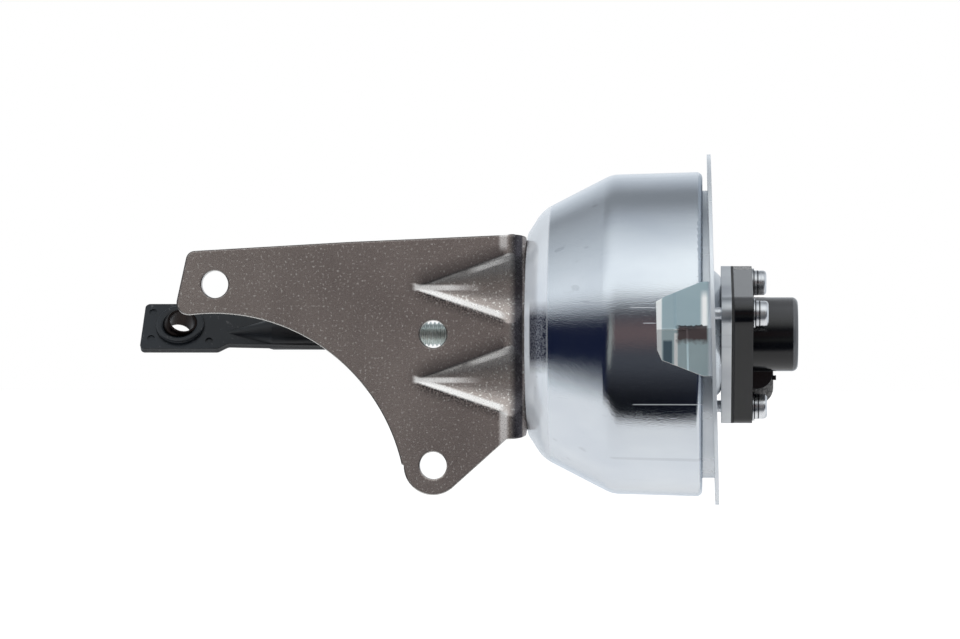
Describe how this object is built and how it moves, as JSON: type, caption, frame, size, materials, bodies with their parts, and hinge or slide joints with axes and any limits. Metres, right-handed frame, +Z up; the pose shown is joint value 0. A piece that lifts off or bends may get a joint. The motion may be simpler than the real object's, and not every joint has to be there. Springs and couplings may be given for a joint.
{
  "type": "wastegate actuator",
  "caption": "Vacuum wastegate actuator: a zinc-plated diaphragm can on a stamped steel bracket, with a rod and ball rod end, a vacuum nipple and a plunger position sensor.",
  "frame": {"origin": "centre of the bracket's middle bolt hole, on the bracket's front face", "axes": "+X along the actuator's axis from the rod end towards the sensor, +Z up, +Y from the bracket's front face towards the actuator's axis"},
  "size_m": [0.159, 0.0852, 0.0844],
  "materials": {
    "bracket_steel": "satin dark grey phosphate and oil finish",
    "bright_zinc": "bright zinc plating with fine drawing lines",
    "cover_zinc": "duller grey-green zinc plating",
    "light_zinc": "light grey zinc plating",
    "fastener_zinc": "zinc plated",
    "rod_steel": "dull zinc plated rod",
    "black_coat": "satin black coating",
    "ball_steel": "dark hardened steel",
    "inner_steel": "plain pressed steel",
    "spring_steel": "oiled spring steel",
    "bronze": "sintered bronze",
    "rubber_black": "matt black rubber",
    "black_gloss": "moulded gloss black",
    "pale_plastic": "natural moulded plastic",
    "track_board": "printed resistor board",
    "contact_brass": "tinned brass"
  },
  "bodies": {
    "housing": {"bracket": "bracket_steel", "can_shell": "bright_zinc", "vacuum_nipple": "bright_zinc", "cover": "cover_zinc", "adapter_plate": "light_zinc", "can_studs": "fastener_zinc", "stud_nuts": "fastener_zinc", "sensor_screws": "fastener_zinc", "spring_washers": "fastener_zinc", "flat_washers": "fastener_zinc", "seal_cap": "black_coat", "spring_seat": "inner_steel", "return_spring": "spring_steel", "plunger_spring": "spring_steel", "guide_bush": "bronze", "diaphragm": "rubber_black", "rod_seal": "rubber_black", "sensor_gasket": "rubber_black", "sensor_housing": "black_gloss", "plunger_guide": "pale_plastic", "resistor_track": "track_board", "connector_pins": "contact_brass"},
    "rod": {"actuator_rod": "rod_steel", "piston_cup": "inner_steel", "diaphragm_retainer": "inner_steel", "rod_end_front_plate": "black_coat", "rod_end_rear_plate": "black_coat", "bearing_race": "black_coat", "rod_lock_nut": "black_coat"},
    "ball": {"bearing_ball": "ball_steel"},
    "plunger": {"sensor_plunger": "pale_plastic", "wiper": "contact_brass"}
  },
  "joints": [
    {"name": "rod_slide", "type": "slide", "parent": "housing", "child": "rod", "axis": [1, 0, 0], "range_m": [0, 0.01], "stiffness_N_per_m": 2500, "springref_m": -0.008, "deforming": ["return_spring", "diaphragm"]},
    {"name": "plunger_slide", "type": "slide", "parent": "housing", "child": "plunger", "axis": [1, 0, 0], "range_m": [0, 0.01], "deforming": ["plunger_spring"]},
    {"name": "ball_tilt", "type": "hinge", "parent": "rod", "child": "ball", "pos_m": [-0.0629, 0.01825, 0.00149], "axis": [0, 0.6428, 0.766], "range_deg": [-31, 1]}
  ],
  "couplings": [
    {"joint": "plunger_slide", "follows": "rod_slide", "ratio": 1}
  ]
}
